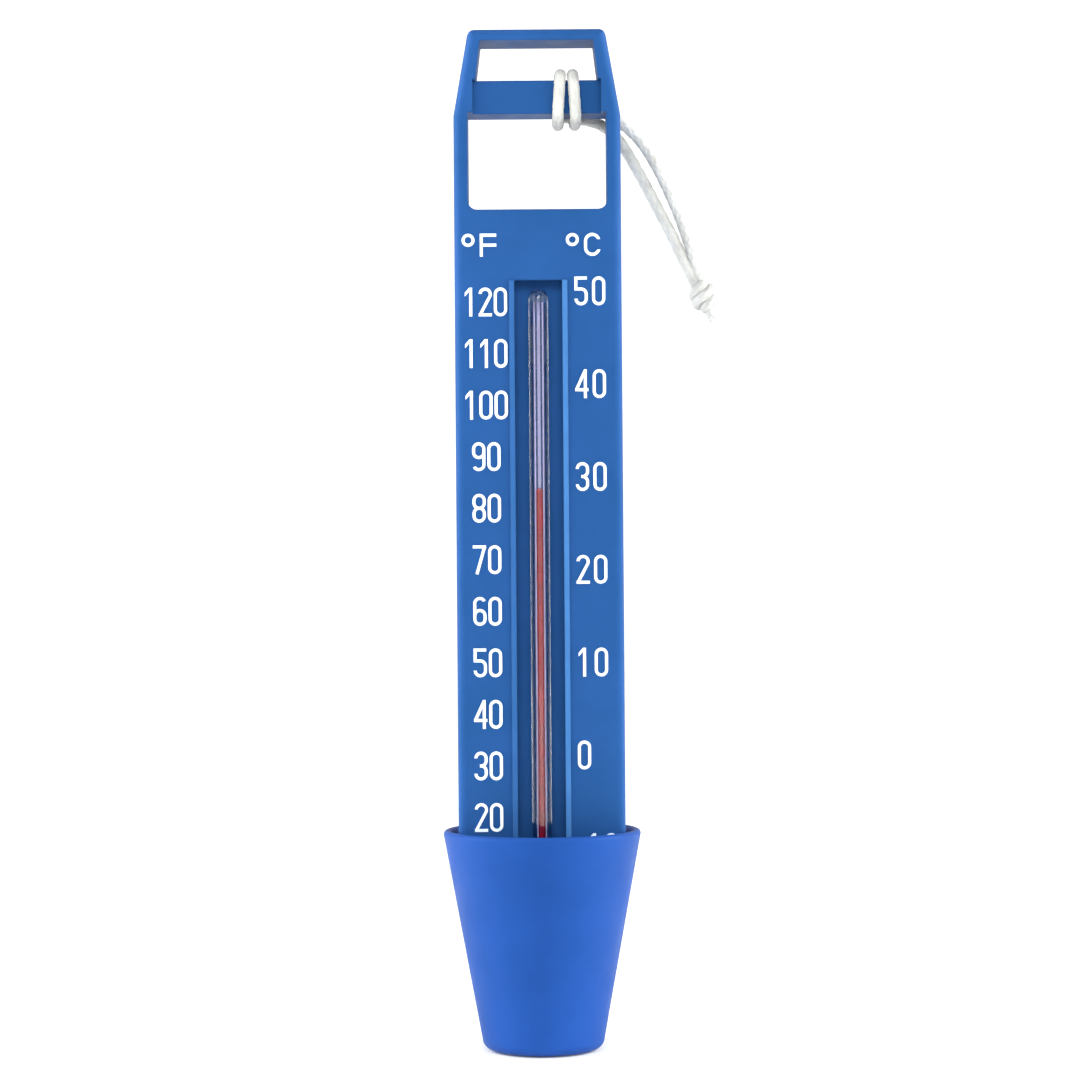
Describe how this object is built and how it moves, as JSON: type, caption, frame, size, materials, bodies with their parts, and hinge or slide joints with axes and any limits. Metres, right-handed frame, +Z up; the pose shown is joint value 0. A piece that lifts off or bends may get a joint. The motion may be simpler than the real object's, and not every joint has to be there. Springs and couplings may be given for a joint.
{
  "type": "floating pool thermometer",
  "caption": "Floating pool thermometer: flat float body with framed handle, scale channel holding a red spirit tube, dual scale, open scoop cup at the foot and a short looped cord.",
  "frame": {"origin": "centre of the scoop cup's underside, on the surface that it stands on", "axes": "+Z up the length to the handle, -Y the way that the scale faces, +X to the right of a person who reads the scale"},
  "size_m": [0.0489, 0.034, 0.175],
  "materials": {
    "shell": "moulded pool-blue plastic, satin",
    "cup": "moulded pool-blue plastic, satin",
    "foam": "closed-cell foam",
    "ballast": "zinc-plated",
    "glass": "clear, polished",
    "enamel": "fired white enamel",
    "spirit": "dyed red spirit",
    "pad": "translucent soft rubber",
    "marking": "pad-printed pale ink",
    "cord": "braided white nylon"
  },
  "bodies": {
    "case": {"front_shell": "shell", "rear_cover": "shell", "float_core": "foam", "ballast_slug": "ballast", "scoop_cup": "cup", "glass_tube": "glass", "enamel_strip": "enamel", "spirit_reservoir": "spirit", "spirit_column": "spirit", "tube_pad": "pad", "tube_clip": "pad", "fahrenheit_numerals": "marking", "celsius_numerals": "marking", "unit_marks": "marking"},
    "spirit_top": {"spirit_meniscus": "spirit"},
    "cord": {"cord_hitch": "cord", "cord_strand_upper": "cord", "cord_strand_lower": "cord", "cord_knot": "cord"}
  },
  "joints": [
    {"name": "spirit_level", "type": "slide", "parent": "case", "child": "spirit_top", "axis": [0, 0, 1], "range_m": [-0.0558, 0.032], "deforming": ["spirit_column"]},
    {"name": "cord_slide", "type": "slide", "parent": "case", "child": "cord", "axis": [1, 0, 0], "range_m": [-0.0128, 0.0025]}
  ]
}
